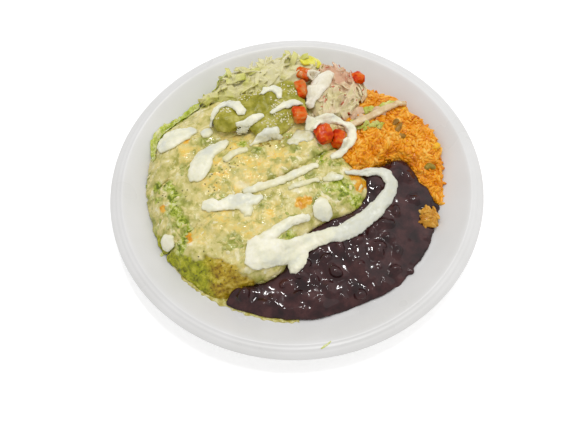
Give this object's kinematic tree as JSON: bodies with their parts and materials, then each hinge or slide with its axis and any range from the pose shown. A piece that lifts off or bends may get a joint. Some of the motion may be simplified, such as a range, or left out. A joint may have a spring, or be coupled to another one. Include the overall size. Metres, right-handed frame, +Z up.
{
  "type": "plate of enchiladas",
  "caption": "Round white dinner plate of enchiladas under melted cheese and green sauce, with black beans, tomato rice, guacamole, lettuce, cabbage salad, diced tomato and poured cream.",
  "frame": {"origin": "under the centre of the plate, on the surface that its foot ring stands on", "axes": "+Z up out of the plate; the black beans lie on the -Y side and the rice on the +X side"},
  "size_m": [0.305, 0.305, 0.0527],
  "materials": {
    "plate_glaze": "glossy white glaze",
    "cheese_and_green_sauce": "melted pale cheese over green sauce, moist",
    "black_beans": "wet, dark plum brown",
    "tomato_rice": "moist orange grains",
    "guacamole": "soft mashed avocado, satin",
    "lettuce": "thin translucent leaf, satin",
    "cabbage_and_onion": "pale translucent shreds, wet",
    "tomato": "wet cut flesh and skin",
    "yellow_leaf": "crisp leaf heart, satin",
    "cream": "smooth poured cream"
  },
  "bodies": {
    "root": {"plate": "plate_glaze", "enchilada_middle": "cheese_and_green_sauce", "enchilada_front": "cheese_and_green_sauce", "enchilada_back": "cheese_and_green_sauce", "rice": "tomato_rice", "rice_clump": "tomato_rice", "beans": "black_beans", "guacamole": "guacamole", "lettuce": "lettuce", "salad": "cabbage_and_onion", "lettuce_rib": "cabbage_and_onion", "yellow_leaf": "yellow_leaf", "tomato_1": "tomato", "tomato_2": "tomato", "tomato_3": "tomato", "tomato_4": "tomato", "tomato_5": "tomato", "tomato_6": "tomato", "cream_pour": "cream", "cream_drop": "cream", "cream_corner": "cream", "cream_spot_back": "cream", "cream_slide": "cream", "cream_streak_back": "cream", "cream_streak_long": "cream", "cream_streak_low": "cream", "cream_streak_right": "cream", "cream_middle": "cream", "cream_spot_left": "cream", "cream_ring": "cream", "cream_guacamole_arc": "cream", "cream_guacamole_step": "cream", "cream_guacamole_wave": "cream", "cream_guacamole_loop": "cream", "cream_guacamole_front": "cream", "sour_cream": "cream", "sour_cream_spot": "cream"}
  },
  "joints": []
}
